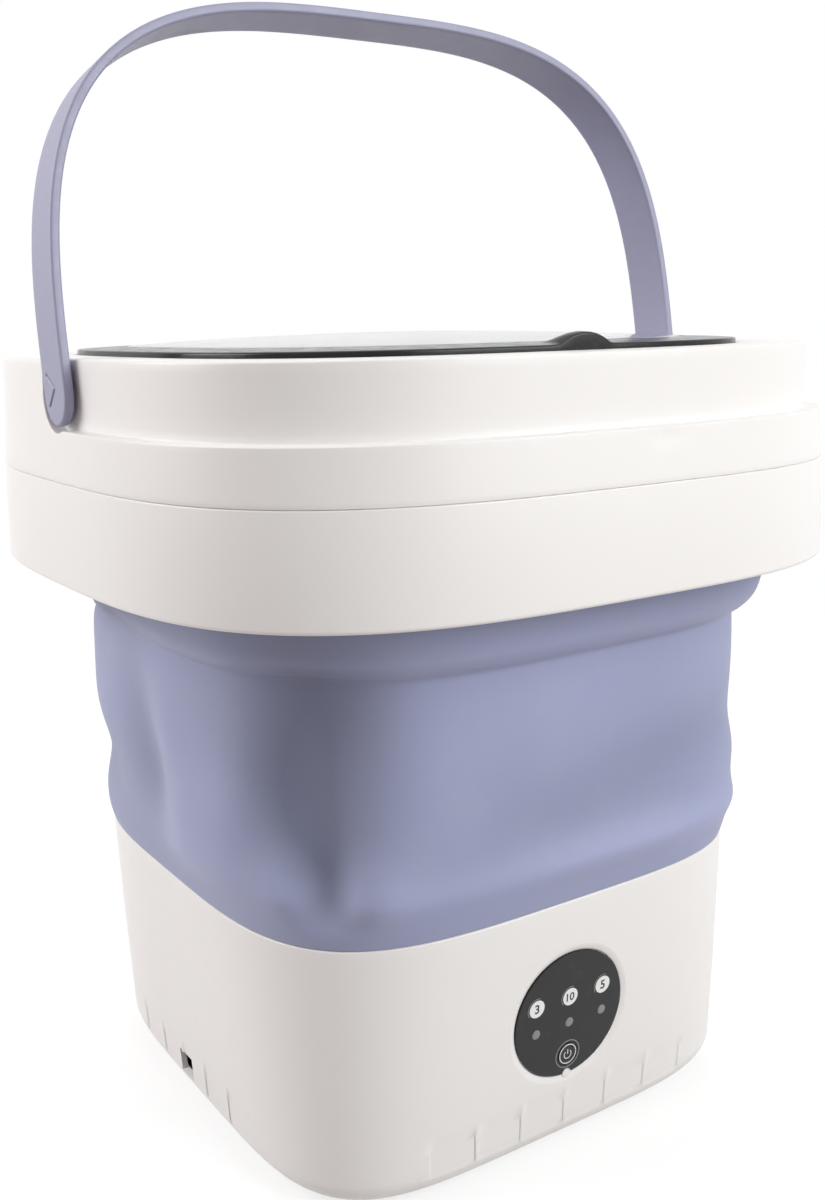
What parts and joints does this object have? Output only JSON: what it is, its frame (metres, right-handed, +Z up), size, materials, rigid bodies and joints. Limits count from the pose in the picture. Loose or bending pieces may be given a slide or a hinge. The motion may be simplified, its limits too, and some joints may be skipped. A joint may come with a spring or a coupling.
{
  "type": "folding mini washing machine",
  "caption": "Folding mini washing machine: square drive base, fold-down soft wall, upper ring with swing handle, clear lift-off lid.",
  "frame": {"origin": "centre of the footprint, on the floor under the feet", "axes": "+Z up, -Y to the front with the control panel, +X to the right seen from the front"},
  "size_m": [0.2744, 0.2744, 0.4065],
  "materials": {
    "white_plastic": "satin white",
    "soft_silicone": "soft satin lavender",
    "lavender_plastic": "satin lavender",
    "dark_plastic": "glossy dark grey",
    "clear_plastic": "clear",
    "black_rubber": "matte black",
    "grey_rubber": "matte grey",
    "steel": "bright",
    "board_green": "matte green",
    "lamp_grey": "clear grey"
  },
  "bodies": {
    "base": {"base_shell": "white_plastic", "bottom_cover": "white_plastic", "foot_1": "black_rubber", "foot_2": "black_rubber", "foot_3": "black_rubber", "foot_4": "black_rubber", "cover_screw_1": "steel", "cover_screw_2": "steel", "cover_screw_3": "steel", "cover_screw_4": "steel", "tub_floor": "white_plastic", "silicone_wall": "soft_silicone", "lower_clamp_ring": "white_plastic", "lower_clamp_screw_1": "steel", "lower_clamp_screw_2": "steel", "lower_clamp_screw_3": "steel", "lower_clamp_screw_4": "steel", "lower_clamp_screw_5": "steel", "lower_clamp_screw_6": "steel", "panel_overlay": "dark_plastic", "lamp_lens_1": "lamp_grey", "lamp_lens_2": "lamp_grey", "lamp_lens_3": "lamp_grey", "control_board": "board_green", "dc_jack": "dark_plastic", "upper_bearing": "steel", "lower_bearing": "steel", "shaft_seal": "black_rubber", "motor_bracket": "steel", "bracket_screw_1": "steel", "bracket_screw_2": "steel", "bracket_screw_3": "steel", "bracket_screw_4": "steel", "bracket_screw_5": "steel", "motor": "steel", "drive_belt": "black_rubber", "drain_spout": "white_plastic"},
    "agitator": {"agitator": "lavender_plastic", "agitator_cap_screw": "white_plastic", "drive_shaft": "steel", "drive_pulley": "dark_plastic"},
    "motor_rotor": {"motor_shaft": "steel", "motor_pulley": "dark_plastic"},
    "button": {"mode_button": "dark_plastic"},
    "stopper": {"drain_stopper": "grey_rubber"},
    "rim": {"rim_skirt": "white_plastic", "rim_frame": "white_plastic", "upper_clamp_ring": "white_plastic", "upper_clamp_screw_1": "steel", "upper_clamp_screw_2": "steel", "upper_clamp_screw_3": "steel", "upper_clamp_screw_4": "steel"},
    "handle": {"handle": "lavender_plastic", "pivot_screw_left": "steel", "pivot_screw_right": "steel"},
    "lid": {"lid_frame": "dark_plastic", "lid_window": "clear_plastic", "lid_seal": "grey_rubber"}
  },
  "joints": [
    {"name": "agitator_spin", "type": "hinge", "parent": "base", "child": "agitator", "pos_m": [0, 0, 0.07], "axis": [0, 0, 1], "continuous": true},
    {"name": "motor_spin", "type": "hinge", "parent": "base", "child": "motor_rotor", "pos_m": [0.062, 0, 0.025], "axis": [0, 0, 1], "continuous": true},
    {"name": "mode_press", "type": "slide", "parent": "base", "child": "button", "axis": [0, 0.9981, 0.0621], "range_m": [0, 0.0006], "stiffness_N_per_m": 1500},
    {"name": "stopper_pull", "type": "slide", "parent": "base", "child": "stopper", "axis": [0, 1, 0], "range_m": [0, 0.025]},
    {"name": "rim_fold", "type": "slide", "parent": "base", "child": "rim", "axis": [0, 0, -1], "range_m": [0, 0.122], "deforming": ["silicone_wall"]},
    {"name": "handle_swing", "type": "hinge", "parent": "rim", "child": "handle", "pos_m": [0, -0.002, 0.2745], "axis": [1, 0, 0], "range_deg": [0, 98.65]},
    {"name": "lid_lift", "type": "slide", "parent": "rim", "child": "lid", "axis": [0, 0, 1], "range_m": [0, 0.06]}
  ],
  "couplings": [
    {"joint": "motor_spin", "follows": "agitator_spin", "ratio": 3.7895}
  ]
}
